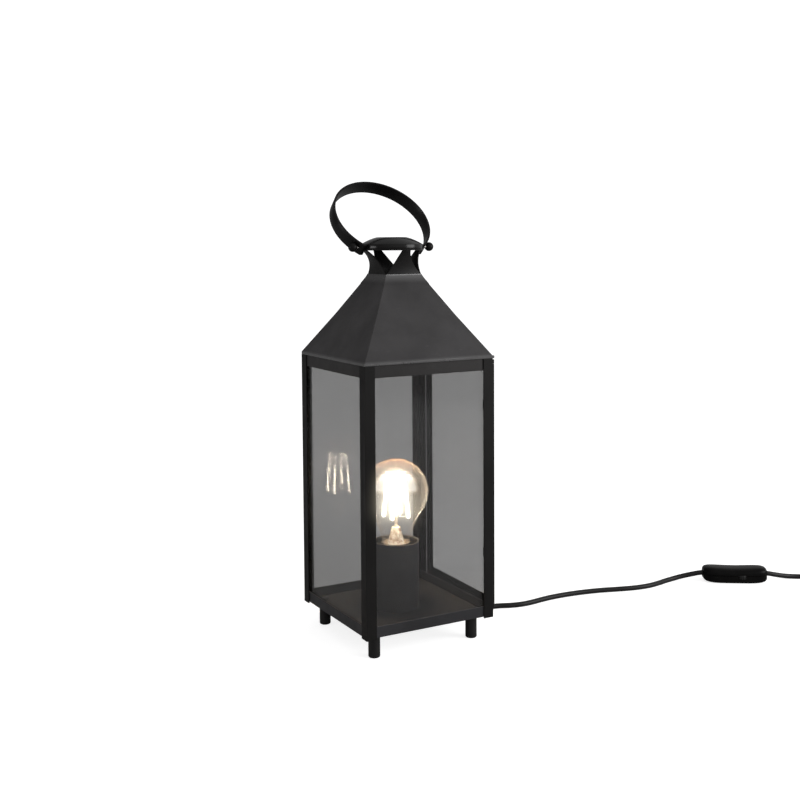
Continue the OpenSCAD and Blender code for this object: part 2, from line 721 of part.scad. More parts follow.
module stem_rod() translate([0, 0, cap_end_z]) cylinder(d = stem_rod_d, h = hub_z - cap_end_z);

// A place on filament i at distance r from the axis and at height z
function filament_place(i, r, z) =
    let (a = 360 * (i - 0.5) / filament_count) [r * cos(a), r * sin(a), z];

module filament_stick(i) bar(filament_place(i, filament_foot_r, hub_z - filament_l),
    filament_place(i, filament_top_r, hub_z), filament_d);

module filament(i) color("#ffb347") at_axis() filament_stick(i);

// Wires from the stem's rod to both ends of each filament
module filament_leads() color("#8c8781") at_axis() for (i = [1:filament_count]) difference() {
    union() {
        filament_lead(i, filament_top_r, hub_z - lead_in);
        filament_lead(i, filament_foot_r, hub_z - filament_l + lead_in);
    }
    filament_stick(i);
    stem_rod();
}

module filament_lead(i, r, z) bar([0, 0, z], filament_place(i, r, z), lead_d);

// ---- cord outlet under the tray ----

module cord_outlet() color("#1a1918") at_axis() difference() {
    union() {
        difference() {
            translate([0, 0, tray_z - outlet_h]) cylinder(d = outlet_d, h = outlet_h);
            translate([0, 0, tray_z - outlet_h + outlet_t])
                cylinder(d = outlet_d - 2 * outlet_t, h = outlet_h);
        }
        at_outlet_screws() translate([0, 0, tray_z - outlet_h]) cylinder(d = boss_d, h = outlet_h);
    }
    at_outlet_screws() translate([0, 0, tray_z - outlet_h - cut])
        cylinder(d = outlet_screw_d, h = outlet_h + 2 * cut);
    shaft_x(0, outlet_d, boot_z, boot_neck_d);
}

module at_outlet_screws() for (y = [-outlet_screw_place, outlet_screw_place])
    translate([0, y, 0]) children();

module outlet_screws() color("#8c8781") at_axis() at_outlet_screws()
    translate([0, 0, tray_z - outlet_h]) cylinder(d = outlet_screw_d, h = outlet_h);

// The boot grips the housing's round wall between its flange and its tapered sleeve
module cord_boot() color("#141313") at_axis() {
    x = outlet_d / 2;
    shaft_x(x - outlet_t - boot_shoulder, x + boot_shoulder, boot_z, boot_neck_d);
    intersection() {
        shaft_x(x - outlet_t - boot_flange_t, x, boot_z, boot_flange_d);
        cylinder(d = outlet_d - 2 * outlet_t, h = tray_z);
    }
    difference() {
        union() {
            shaft_x(x - boot_shoulder, x, boot_z, boot_d);
            translate([x, 0, boot_z]) rotate([0, 90, 0]) cylinder(d1 = boot_d, d2 = boot_end_d, h = boot_l);
        }
        cylinder(d = outlet_d, h = tray_z);
    }
}

// ---- cord, switch and plug, placed in the part's own frame ----

boot_end = [axis_x + outlet_d / 2 + boot_l, 0, boot_z];

function smooth(t) = t <= 0 ? 0 : t >= 1 ? 1 : (1 - cos(180 * t)) / 2;

// The coil runs inward on the table, climbs where it turns back, and runs outward on top
function coil_point(a) =
    let (back = coil_turns * 180, r = coil_r + coil_step * (abs(a - back) / 360 - coil_turns / 4))
    [coil_middle[0] + r * cos(coil_start + a), coil_middle[1] + r * sin(coil_start + a),
     cord_d / 2 + coil_step * smooth((a - back) / coil_climb + 0.5)];

coil_path = [for (a = [0:15:coil_turns * 360]) coil_point(a)];
coil_last = len(coil_path) - 1;
coil_in_dir = unit(coil_path[1] - coil_path[0]);
coil_out_dir = unit(coil_path[coil_last] - coil_path[coil_last - 1]);
coil_in = coil_path[0] - cord_d * coil_in_dir;
coil_out = coil_path[coil_last] + cord_d * coil_out_dir;
coil_apart = 18;                   // places this many steps apart lie on different turns
coil_gap = min([for (i = [0:coil_last - coil_apart], j = [i + coil_apart:coil_last])
    norm(coil_path[i] - coil_path[j])]) - cord_d;
echo(str("Least gap of the coil to itself: ", coil_gap, " mm"));

plug_at = [plug_place[0], plug_place[1], plug_z];

module cord_lead() color("#141313")
    tube(concat([boot_end], lead_route, [switch_in]), cord_d, 8, [1, 0, 0], switch_dir);

module cord_tail() color("#141313")
    tube(concat([switch_out], tail_route, [coil_in]), cord_d, 8, switch_dir, coil_in_dir);

module cord_coil() color("#141313")
    tube(concat([coil_in], coil_path, [coil_out]), cord_d, 6, coil_in_dir, coil_out_dir);

module cord_end() color("#141313")
    tube(concat([coil_out], end_route, [plug_at]), cord_d, 8, coil_out_dir, plug_dir);

// The switch's own frame: middle at the origin of X and Y, length along X
module at_switch() translate([switch_middle[0], switch_middle[1], 0])
    rotate([0, 0, switch_turn]) children();

module switch_outline(less) {
    l = switch_l / 2 - less;
    w = switch_w / 2 - less;
    r = switch_r - less;
    translate([-l + r, -w]) square([2 * (l - r), 2 * w]);
    translate([-l, -w + r]) square([2 * l, 2 * (w - r)]);
    for (x = [-l + r, l - r], y = [-w + r, w - r]) translate([x, y]) circle(r = r);
}

module switch_shell(z0, z1, floor0, floor1) difference() {
    union() {
        difference() {
            translate([0, 0, z0]) linear_extrude(z1 - z0) switch_outline(0);
            translate([0, 0, floor0]) linear_extrude(floor1 - floor0) switch_outline(switch_wall);
        }
        for (x = switch_screw_x) translate([x, 0, z0]) cylinder(d = screw_boss_d, h = z1 - z0);
    }
    translate([wheel_along, wheel_y, wheel_z - wheel_t / 2 - wheel_play])
        cylinder(d = wheel_d + 4 * wheel_play, h = wheel_t + 2 * wheel_play);
}

module switch_lower() color("#151414") at_switch() difference() {
    union() {
        switch_shell(0, switch_z, switch_wall, switch_h);
        translate([wheel_along, wheel_y, 0]) {
            cylinder(d = wheel_post_d, h = wheel_z - wheel_t / 2 - wheel_play);
            cylinder(d = wheel_pin_d, h = switch_h - switch_wall - wheel_play);
        }
    }
    for (x = switch_screw_x) translate([x, 0, -cut]) {
        cylinder(d = switch_screw_d, h = switch_h);
        cylinder(d = switch_screw_head_d, h = 2 * cut);
    }
}

module switch_upper() color("#1c1b1b") at_switch() difference() {
    switch_shell(switch_z, switch_h, -cut, switch_h - switch_wall);
    for (x = switch_screw_x) translate([x, 0, 0]) cylinder(d = switch_screw_d, h = switch_h - switch_wall);
}

module switch_wheel() color("#4a4644") at_switch() translate([wheel_along, wheel_y, wheel_z - wheel_t / 2])
    difference() {
        cylinder(d = wheel_d, h = wheel_t);
        translate([0, 0, -cut]) cylinder(d = wheel_pin_d + 2 * run_fit, h = wheel_t + 2 * cut);
    }

module switch_screws() color("#8c8781") at_switch() for (x = switch_screw_x) translate([x, 0, cut]) {
    translate([0, 0, -0.5]) cylinder(d = switch_screw_head_d, h = 0.5);
    cylinder(d = switch_screw_d, h = switch_h - switch_wall - cut);
}

module at_plug() translate(plug_at) rotate([0, 0, plug_turn]) rotate([90, 0, 90]) children();

module plug_body() color("#151414") at_plug() difference() {
    union() {
        cylinder(d1 = plug_relief_d[0], d2 = plug_relief_d[1], h = plug_relief_l);
        translate([0, 0, plug_relief_l]) linear_extrude(plug_l) plug_outline();
    }
    plug_pin_pair(plug_relief_l + plug_l / 2);
}

module plug_outline() {
    x = plug_w / 2 - plug_r;
    y = plug_h / 2 - plug_r;
    translate([-x, -plug_h / 2]) square([2 * x, plug_h]);
    translate([-plug_w / 2, -y]) square([plug_w, 2 * y]);
    for (i = [-x, x], j = [-y, y]) translate([i, j]) circle(r = plug_r);
}

// Both pins, from a depth inside the body to their tips
module plug_pin_pair(z) for (x = [-pin_gap / 2, pin_gap / 2])
    translate([x, 0, z]) cylinder(d = pin_d, h = plug_relief_l + plug_l + pin_l - z);

module plug_pins() color("#b9b4ac") at_plug() plug_pin_pair(plug_relief_l + plug_l / 2);

// ---- the part ----

for (i = [1:4]) {
    corner_post(i);
    foot(i);
}
for (i = [1:3]) pane(i);
for (i = [1:filament_count]) filament(i);
for (i = [1:2]) handle_ball(i);
base_tray();
foot_screws();
top_frame();
pane_clips();
door_frame();
door_glass();
hinge_rod();
hinge_knuckles();
catch_magnet();
roof();
crown();
cap();
cap_plate();
handle_ring();
handle_rod();
handle_spacers();
lampholder_tube();
nipple();
nipple_nuts();
lampholder();
screw_shell();
centre_contact();
conductors();
bulb_glass();
bulb_cap();
bulb_base();
bulb_stem();
filament_leads();
cord_outlet();
outlet_screws();
cord_boot();
cord_lead();
cord_tail();
cord_coil();
cord_end();
switch_lower();
switch_upper();
switch_wheel();
switch_screws();
plug_body();
plug_pins();
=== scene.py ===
"""Looks of the lantern table lamp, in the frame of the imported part.

In order: camera, cord, finer pieces, materials, looks of the CAD nodes, floor and light.
Pieces are measured in millimetres in the part's own frame, and mm() turns them into metres.
Lights, and heights inside materials, are in metres.
"""
import math

import bmesh
import bpy
from mathutils import Matrix, Vector


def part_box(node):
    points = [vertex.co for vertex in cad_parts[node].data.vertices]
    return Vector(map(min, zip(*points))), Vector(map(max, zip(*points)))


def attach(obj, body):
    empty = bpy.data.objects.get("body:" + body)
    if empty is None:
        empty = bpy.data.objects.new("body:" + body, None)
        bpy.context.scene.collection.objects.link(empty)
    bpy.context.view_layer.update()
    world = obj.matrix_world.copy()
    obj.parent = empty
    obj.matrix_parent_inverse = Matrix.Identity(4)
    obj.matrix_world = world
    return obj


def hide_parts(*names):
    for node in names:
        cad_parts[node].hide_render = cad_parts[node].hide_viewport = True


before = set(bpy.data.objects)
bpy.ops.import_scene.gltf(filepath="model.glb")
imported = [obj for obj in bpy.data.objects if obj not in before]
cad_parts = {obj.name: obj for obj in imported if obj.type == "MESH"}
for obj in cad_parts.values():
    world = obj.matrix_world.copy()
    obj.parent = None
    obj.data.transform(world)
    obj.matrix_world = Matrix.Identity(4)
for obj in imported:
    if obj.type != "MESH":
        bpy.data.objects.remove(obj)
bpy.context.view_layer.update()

AXIS_X = -4.1                  # the lantern's axis
CORD_D = 5.1
SHARP_ANGLE = 35               # degrees from which an edge counts as sharp
SAME_PLACE = 0.000002          # metres within which two points are one


def mm(*v):
    """Millimetres to a vector in metres."""
    return Vector(v) / 1000


def smooth(t):
    """A soft rise from 0 to 1 while t does the same; level before and after."""
    return (1 - math.cos(math.pi * min(1, max(0, t)))) / 2


# ---- camera ----

CAMERA_PLACE = (-503.10, -909.38, 363.02)
CAMERA_YAW = 0.5067005         # to the right of +Y
CAMERA_PITCH = 0.0605784       # downward
CAMERA_ROLL = -0.0066901
CAMERA_LENS = 50.82
CAMERA_SENSOR = 36
CAMERA_SHIFT_Y = -0.1126
CAMERA_NEAR, CAMERA_FAR = 0.05, 50      # metres


def make_camera():
    """A camera at the place and turn from which the photo was taken."""
    ahead = Vector((math.sin(CAMERA_YAW) * math.cos(CAMERA_PITCH),
                    math.cos(CAMERA_YAW) * math.cos(CAMERA_PITCH),
                    -math.sin(CAMERA_PITCH)))
    right = Vector((math.cos(CAMERA_YAW), -math.sin(CAMERA_YAW), 0))
    up = right.cross(ahead)
    turned_right = right * math.cos(CAMERA_ROLL) + up * math.sin(CAMERA_ROLL)
    turned_up = up * math.cos(CAMERA_ROLL) - right * math.sin(CAMERA_ROLL)
    data = bpy.data.cameras.new("camera")
    data.lens = CAMERA_LENS
    data.sensor_width = CAMERA_SENSOR
    data.shift_y = CAMERA_SHIFT_Y
    data.clip_start = CAMERA_NEAR
    data.clip_end = CAMERA_FAR
    camera = bpy.data.objects.new("camera", data)
    turn = Matrix((turned_right, turned_up, -ahead)).transposed()
    camera.matrix_world = Matrix.Translation(mm(*CAMERA_PLACE)) @ turn.to_4x4()
    bpy.context.scene.collection.objects.link(camera)
    bpy.context.scene.camera = camera


make_camera()


# ---- cord: the route of the part's source ----

BOOT_END = (AXIS_X + 47, 0, 15.5)
LEAD = [(52, 0, 15.2), (60, 0.2, 13.6), (67, 0.6, 11.2), (79, 2.4, 7.2), (91, 4.6, 4), (102, 5.6, 2.7),
        (113, 3.6, 2.6), (124, -0.9, 2.6), (136, -3.6, 2.6), (149, -3.4, 2.6), (161, -1.8, 2.6),
        (173, -0.7, 2.6), (186, -0.7, 2.6), (199, -1.7, 2.6), (212, -3.5, 2.6), (224, -5.9, 2.6),
        (236, -9.2, 2.6), (248, -13.2, 2.6), (260, -17, 2.6), (273, -19.8, 2.6), (286, -20.7, 2.6),
        (299, -19.2, 2.6), (311, -16.9, 2.7), (322, -16.2, 3.2), (332, -18, 4.6), (342, -22.9, 6.8)]
SWITCH_MIDDLE = (380, -47.2)
SWITCH_TURN = math.radians(-33.1)
SWITCH_L, SWITCH_W, SWITCH_H = 66.8, 26, 17.5
TAIL = [(417, -69, 6.9), (428, -71, 4.4), (439, -74.2, 2.9), (449, -80.2, 2.6), (457, -89, 2.6),
        (464.5, -99, 2.6)]
COIL_MIDDLE = (508, -90)
COIL_R = 30.6
COIL_START = 214               # degrees
COIL_TURNS = 6.25              # half of them inward, the rest outward in a second layer on top
COIL_STEP = 5.6                # from one turn or layer to the next
COIL_KNOT = 15                 # degrees from one point of the coil's route to the next
END = [(543, -112.5, 6.4), (552.5, -103, 4.4), (560.5, -92, 3.6), (567, -80.5, 4.8)]
PLUG_PLACE = (573, -69)
PLUG_TURN = math.radians(62)
PLUG_H = 14


def switch_place(along, aside=0, z=0):
    """A place on the switch, from its middle, in the part's own frame."""
    c, s = math.cos(SWITCH_TURN), math.sin(SWITCH_TURN)
    return (SWITCH_MIDDLE[0] + along * c - aside * s, SWITCH_MIDDLE[1] + along * s + aside * c, z)


def coil_place(angle):
    """A place on the coil at an angle from its start, in degrees."""
    back = COIL_TURNS * 180
    r = COIL_R + COIL_STEP * (abs(angle - back) / 360 - COIL_TURNS / 4)
    a = math.radians(COIL_START + angle)
    return (COIL_MIDDLE[0] + r * math.cos(a), COIL_MIDDLE[1] + r * math.sin(a),
            CORD_D / 2 + COIL_STEP * smooth((angle - back) / 180 + 0.5))


def beyond(before, last):
    """A place one cord's width past the last of two, on their line."""
    way = (Vector(last) - Vector(before)).normalized()
    return tuple(Vector(last) + way * CORD_D)


def cord_route():
    """The cord's middle line from the boot through the switch and the coil to the plug."""
    inside = [switch_place(x, 0, SWITCH_H / 2) for x in (-SWITCH_L / 2, 0, SWITCH_L / 2)]
    coil = [coil_place(COIL_KNOT * i) for i in range(int(COIL_TURNS * 360 / COIL_KNOT) + 1)]
    coil = [beyond(coil[1], coil[0]), *coil, beyond(coil[-2], coil[-1])]
    plug = (*PLUG_PLACE, PLUG_H / 2)
    return [BOOT_END, *LEAD, *inside, *TAIL, *coil, *END, plug]


def curve_through(name, points, diameter):
    """A round smooth curve through points in millimetres."""
    data = bpy.data.curves.new(name, "CURVE")
    data.dimensions = "3D"
    data.bevel_depth = 1           # times the radius of each knot
    data.bevel_resolution = 4
    data.resolution_u = 6
    data.use_fill_caps = True
    spline = data.splines.new("BEZIER")
    spline.bezier_points.add(len(points) - 1)
    for knot, place in zip(spline.bezier_points, points):
        knot.co = mm(*place)
        knot.radius = diameter / 2000
        knot.handle_left_type = knot.handle_right_type = "AUTO"
    obj = bpy.data.objects.new(name, data)
    bpy.context.scene.collection.objects.link(obj)
    return obj


def make_cord():
    """The cord, in place of its four stretches in the CAD."""
    cord = curve_through("cord", cord_route(), CORD_D)
    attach(cord, "lantern")
    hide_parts("cord_lead", "cord_tail", "cord_coil", "cord_end")
    return cord


cord = make_cord()


# ---- pieces made here ----

def loft(rings, capped=True):
    """The points and faces of a skin from each ring of points to the next."""
    n = len(rings[0])
    points = [p for ring in rings for p in ring]
    faces = []
    for i in range(len(rings) - 1):
        for k in range(n):
            a, b = i * n + k, i * n + (k + 1) % n
            faces.append((a, b, b + n, a + n))
    if capped:
        faces.append(tuple(range(n - 1, -1, -1)))
        faces.append(tuple(range(len(points) - n, len(points))))
    return points, faces


def make_piece(name, shape, body="lantern", replaced=(), sharp=SHARP_ANGLE):
    """A piece from points in millimetres in the part's own frame, which rides on a body."""
    points, faces = shape
    mesh = bpy.data.meshes.new(name)
    mesh.from_pydata([mm(*p) for p in points], [], faces)
    cleaned = bmesh.new()
    cleaned.from_mesh(mesh)
    bmesh.ops.remove_doubles(cleaned, verts=cleaned.verts, dist=SAME_PLACE)
    bmesh.ops.dissolve_degenerate(cleaned, dist=SAME_PLACE, edges=cleaned.edges)
    bmesh.ops.recalc_face_normals(cleaned, faces=cleaned.faces)
    cleaned.to_mesh(mesh)
    cleaned.free()
    mesh.shade_smooth()
    mesh.set_sharp_from_angle(angle=math.radians(sharp))
    obj = bpy.data.objects.new(name, mesh)
    bpy.context.scene.collection.objects.link(obj)
    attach(obj, body)
    if replaced:
        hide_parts(*replaced)
    return obj


def box_of(node):
    """A node's lowest and highest corner, in millimetres."""
    return [[1000 * v for v in corner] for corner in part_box(node)]


def squared(turn, form):
    """A sine or cosine for a ring that a form over 2 makes squarer."""
    return math.copysign(abs(turn) ** (2 / form), turn)


# ---- switch ----

SWITCH_DIP = 2.3               # how far the middle of the top lies below its ends
SWITCH_STATIONS, SWITCH_SIDES = 56, 22
SHOULDER_FORM, FOOT_FORM = 3.2, 5.5     # exponents of the section above and below the joint line
END_FORM, END_RISE_FORM = 3.7, 4.8      # exponents of the round ends, from above and from the side
JOINT_GROOVE, JOINT_GAP = 0.35, 0.1     # depth of the joint's groove, and half of its gap
WHEEL_RIDGES, WHEEL_GROOVE = 22, 0.45
WHEEL_HUB, WHEEL_FACE = 0.4, 0.9        # shares of its radius where its hub and its flat face end
WHEEL_EDGE = 0.5                        # height of its rounded edge


def round_end(u, form):
    """The share of a section that is left at u of the half length, toward a round end."""
    return max(0.0, 1 - abs(u) ** form) ** (1 / form)


def switch_half(upper):
    """One half of the case: sections across the switch, which shrink into its round ends."""
    form = SHOULDER_FORM if upper else FOOT_FORM
    gap = JOINT_GAP if upper else -JOINT_GAP
    middle = SWITCH_H / 2
    rings = []
    for i in range(SWITCH_STATIONS + 1):
        u = -math.cos(math.pi * i / SWITCH_STATIONS)
        end = round_end(u, END_FORM)
        rise_end = round_end(u, END_RISE_FORM)
        wide = SWITCH_W / 2 * end
        tall = (middle - SWITCH_DIP * (1 - u * u)) * rise_end if upper else -middle * rise_end
        lift = JOINT_GROOVE * rise_end / abs(tall) if tall else 0
        lip = wide - JOINT_GROOVE * end
        section = [(-lip, gap)]
        for k in range(SWITCH_SIDES + 1):
            a = math.pi * k / SWITCH_SIDES
            rise = lift + (1 - lift) * squared(math.sin(a), form)
            section.append((-squared(math.cos(a), form) * wide, rise * tall))
        section.append((lip, gap))
        rings.append([switch_place(u * SWITCH_L / 2, y, middle + z) for y, z in section])
    return loft(rings)


def ridged_wheel():
    """The thumbwheel, with ridges all round and rounded edges."""
    low, high = box_of("switch_wheel")
    centre = [(a + b) / 2 for a, b in zip(low, high)]
    radius = (high[0] - low[0]) / 2
    foot, top = low[2], high[2]
    sides = 4 * WHEEL_RIDGES       # two on each ridge and two in the groove beside it
    profile = [(WHEEL_HUB, foot), (WHEEL_FACE, foot), (1, foot + WHEEL_EDGE),
               (1, top - WHEEL_EDGE), (WHEEL_FACE, top), (WHEEL_HUB, top)]
    rings = []
    for share, z in profile:
        ring = []
        for k in range(sides):
            deep = WHEEL_GROOVE if share == 1 and k % 4 in (2, 3) else 0
            r = radius * share - deep
            a = 2 * math.pi * k / sides
            ring.append((centre[0] + r * math.cos(a), centre[1] + r * math.sin(a), z))
        rings.append(ring)
    return loft(rings)


make_piece("switch_top", switch_half(True), replaced=["switch_upper"])
make_piece("switch_bottom", switch_half(False), replaced=["switch_lower"])
make_piece("wheel", ridged_wheel(), "thumbwheel", ["switch_wheel"])


# ---- strain reliefs and plug ----

SECTION_SIDES = 32
ROUND = 2.0                    # form of a round section
RIB = [(0.15, 0), (0.3, 1), (0.6, 1), (0.75, 0)]      # shares of a rib's step and of its groove's depth
BOOT_WALL_X, BOOT_R = 21.4, (4.2, 3.2)
BOOT_RIBS, BOOT_GROOVE = 7, 0.55
PLUG_RELIEF, PLUG_RELIEF_R = 18, (3.3, 5.5)
PLUG_RIBS, PLUG_GROOVE = 6, 0.5
PLUG_FORM = 3.2
PLUG_BODY = [(18.4, 6.2, 5.6), (20.5, 9.5, 6.3), (24, 12.6, 6.9), (29, 12.3, 6.6), (34, 12.5, 6.6),
             (39, 13.5, 7), (46.4, 14, 7), (47.5, 13.6, 6.6), (48, 12.9, 5.9)]


def round_section(centre, along, radius_y, radius_z, form=ROUND):
    """A ring square to a level direction; a form over 2 makes it squarer."""
    aside = (-along[1], along[0])
    ring = []
    for k in range(SECTION_SIDES):
        a = 2 * math.pi * k / SECTION_SIDES
        y = squared(math.cos(a), form) * radius_y
        z = squared(math.sin(a), form) * radius_z
        ring.append((centre[0] + aside[0] * y, centre[1] + aside[1] * y, centre[2] + z))
    return ring


def ribbed(start, end, r0, r1, ribs, groove):
    """Stations and radii of a tapered sleeve with grooves between its ribs."""
    stations = [(start, r0)]
    step = (end - start) / ribs
    for i in range(ribs):
        for share, deep in RIB:
            t = (i + share) / ribs
            stations.append((start + step * (i + share), r0 + (r1 - r0) * t - deep * groove))
    stations.append((end, r1))
    return stations


def cord_boot():
    """The ribbed sleeve round the cord where it leaves the outlet."""
    low, high = box_of("cord_boot")
    middle = (low[2] + high[2]) / 2
    sleeve = ribbed(BOOT_WALL_X, high[0] - AXIS_X, *BOOT_R, BOOT_RIBS, BOOT_GROOVE)
    return loft([round_section((AXIS_X + x, 0, middle), (1, 0), r, r) for x, r in sleeve])


def plug_body():
    """The plug: its ribbed relief, then its flatter, waisted body."""
    along = (math.cos(PLUG_TURN), math.sin(PLUG_TURN))
    relief = ribbed(0, PLUG_RELIEF, *PLUG_RELIEF_R, PLUG_RIBS, PLUG_GROOVE)
    stations = [(x, r, r, ROUND) for x, r in relief]
    stations += [(x, wide, tall, PLUG_FORM) for x, wide, tall in PLUG_BODY]
    rings = []
    for x, wide, tall, form in stations:
        centre = (PLUG_PLACE[0] + along[0] * x, PLUG_PLACE[1] + along[1] * x, PLUG_H / 2)
        rings.append(round_section(centre, along, wide, tall, form))
    return loft(rings)


make_piece("boot", cord_boot(), replaced=["cord_boot"])
make_piece("plug", plug_body(), replaced=["plug_body"])


# ---- materials ----

class Shader:
    """A material of one Principled shader, with procedural colour, roughness and bump."""

    def __init__(self, name, **sockets):
        self.material = bpy.data.materials.new(name)
        self.material.use_nodes = True
        self.nodes = self.material.node_tree.nodes
        self.links = self.material.node_tree.links
        self.principled = self.nodes["Principled BSDF"]
        for key, value in sockets.items():
            self.principled.inputs[key.replace("_", " ")].default_value = value
        self.place = self.nodes.new("ShaderNodeTexCoord").outputs["Object"]

    def node(self, kind, **values):
        node = self.nodes.new(kind)
        for key, value in values.items():
            setattr(node, key, value)
        return node

    def stretched(self, x, y, z):
        """The place, scaled along each axis."""
        scaled = self.node("ShaderNodeMapping")
        scaled.inputs["Scale"].default_value = (x, y, z)
        self.links.new(self.place, scaled.inputs["Vector"])
        return scaled.outputs["Vector"]

    def noise(self, scale, detail=3, roughness=0.55, at=None):
        """Noise at a scale per metre, on the place or on another vector."""
        noise = self.node("ShaderNodeTexNoise")
        noise.inputs["Scale"].default_value = scale
        noise.inputs["Detail"].default_value = detail
        noise.inputs["Roughness"].default_value = roughness
        self.links.new(at or self.place, noise.inputs["Vector"])
        return noise.outputs["Fac"]

    def upward(self, vector):
        """The Z of a vector."""
        split = self.node("ShaderNodeSeparateXYZ")
        self.links.new(vector, split.inputs["Vector"])
        return split.outputs["Z"]

    def height(self):
        """The height above the table, in metres."""
        return self.upward(self.place)

    def level(self):
        """1 on faces that look up, 0 on upright ones."""
        normal = self.node("ShaderNodeTexCoord").outputs["Normal"]
        return self.spread(self.upward(normal), 0, 1, 0.6, 0.9)

    def facing(self):
        """0 where a surface faces the eye, 1 at its rim."""
        return self.node("ShaderNodeLayerWeight").outputs["Facing"]

    def spread(self, value, low, high, start=0.3, end=0.7):
        """A value from start to end, mapped to the range from low to high."""
        spread = self.node("ShaderNodeMapRange")
        for key, number in (("From Min", start), ("From Max", end), ("To Min", low), ("To Max", high)):
            spread.inputs[key].default_value = number
        self.links.new(value, spread.inputs["Value"])
        return spread.outputs["Result"]

    def math(self, operation, a, b):
        """Two values, sockets or numbers, put together by an operation."""
        node = self.node("ShaderNodeMath", operation=operation)
        for index, value in enumerate((a, b)):
            if isinstance(value, (int, float)):
                node.inputs[index].default_value = value
            else:
                self.links.new(value, node.inputs[index])
        return node.outputs["Value"]

    def mixed(self, factor, a, b):
        """Two colours mixed by a factor; a and b are colours or sockets."""
        mix = self.node("ShaderNodeMix", data_type="RGBA")
        self.links.new(factor, mix.inputs["Factor"])
        for index, colour in ((6, a), (7, b)):         # the node's two colour sockets
            if isinstance(colour, tuple):
                mix.inputs[index].default_value = (*colour, 1)
            else:
                self.links.new(colour, mix.inputs[index])
        return mix.outputs[2]

    def clouded(self, dark, light, scale, detail):
        """A colour that drifts between two."""
        return self.mixed(self.spread(self.noise(scale, detail), 0, 1), dark, light)

    def uneven(self, low, high, scale, detail, roughness=0.55):
        """A value that drifts between two."""
        return self.spread(self.noise(scale, detail, roughness), low, high)

    def feed(self, key, socket):
        self.links.new(socket, self.principled.inputs[key])

    def bump(self, height, depth_mm, strength):
        bump = self.node("ShaderNodeBump")
        bump.inputs["Distance"].default_value = depth_mm / 1000
        bump.inputs["Strength"].default_value = strength
        self.links.new(height, bump.inputs["Height"])
        self.feed("Normal", bump.outputs["Normal"])


CLOUD_SHARES = (0.82, 1.18)    # of the paint's tone, where it is darkest and lightest
SCUFF_SHARE = 1.5              # of the paint's tone, on its scuffs
GLOSS_SPECULAR = 0.75
GLOSS_ROUGHNESS = 0.7          # share of the paint's roughness


def shade(tone, share):
    return tuple(share * c for c in tone)


def painted(name, tone, rough, specular=0.12, depth=0.03, top_light=0.0, polished=None):
    """Satin paint baked on sheet steel: a fine orange peel, scuffs and slow changes of tone.

    Top light is the share of the tone on level faces, a painted light on faces that look up.
    Polished is four heights: the paint is glossy below the first and above the last, and satin
    between the second and the third.
    """
    s = Shader(name, Specular_IOR_Level=specular)
    dark, light = (shade(tone, share) for share in CLOUD_SHARES)
    clouds = s.mixed(s.spread(s.noise(26, 5), 0, 1, 0.35, 0.65), dark, light)
    scuffs = s.spread(s.noise(5, 6, 0.7, s.stretched(9, 9, 60)), 0, 1, 0.62, 0.72)
    colour = s.mixed(scuffs, clouds, shade(tone, SCUFF_SHARE))
    # faces that look up are painted lighter: a painted top light
    if top_light:
        colour = s.mixed(s.level(), colour, shade(tone, top_light))
    s.feed("Base Color", colour)
    roughness = s.uneven(rough - 0.06, rough + 0.07, 70, 4)
    if polished:
        hem = s.spread(s.height(), 1, 0, *polished[:2])
        neck = s.spread(s.height(), 0, 1, *polished[2:])
        gloss = s.math("MAXIMUM", hem, neck)
        s.feed("Specular IOR Level", s.spread(gloss, specular, GLOSS_SPECULAR, 0, 1))
        roughness = s.math("MULTIPLY", roughness, s.spread(gloss, 1, GLOSS_ROUGHNESS, 0, 1))
    s.feed("Roughness", roughness)
    s.bump(s.noise(1100, 2), depth, 0.4)
    return s.material


def bare_metal(name, dark, light, rough):
    """Drawn or brushed metal with fine lines along X."""
    s = Shader(name, Metallic=1.0)
    lines = s.noise(2, 6, 0.7, s.stretched(40, 900, 900))
    s.feed("Base Color", s.clouded(dark, light, 60, 4))
    s.feed("Roughness", s.spread(lines, rough - 0.08, rough + 0.1))
    s.bump(lines, 0.01, 0.3)
    return s.material


def plastic(name, dark, light, rough, specular=0.5, ior=1.5):
    """Moulded plastic, faintly uneven in tone and gloss."""
    s = Shader(name, Specular_IOR_Level=specular, IOR=ior)
    s.feed("Base Color", s.clouded(dark, light, 90, 4))
    s.feed("Roughness", s.uneven(rough - 0.04, rough + 0.06, 220, 3))
    s.bump(s.noise(900, 2), 0.01, 0.3)
    return s.material


PANE_FOOT, PANE_ABOVE = 0.08, 0.17      # heights between which a pane's share changes


def smoked_glass(name, foot, above, ior=1.5):
    """Grey glass, each face of which holds back a share of the light, at its foot and above."""
    s = Shader(name, Specular_IOR_Level=0.62, IOR=ior)
    s.feed("Base Color", s.clouded((0.012, 0.012, 0.013), (0.02, 0.02, 0.02), 14, 5))
    s.feed("Alpha", s.spread(s.height(), foot, above, PANE_FOOT, PANE_ABOVE))
    s.feed("Roughness", s.uneven(0.01, 0.035, 35, 6, 0.6))
    s.bump(s.noise(6, 1), 0.02, 0.2)
    return s.material


AMBER_HEIGHTS = (0.142, 0.166)          # from clear glass to the amber breath
GLOW_FOOT = (0.133, 0.138)              # the glow sets in
GLOW_TOP = (0.155, 0.162)               # and ends
GLOW_SIDE = (0.2, 0.34)                 # how far the glass may turn from the eye before the glow ends
GLOW_VEIL = 0.16                        # share of what is behind that the glow hides
CLEAR_VEIL, AMBER_VEIL = 0.032, 0.10    # the same for the glass


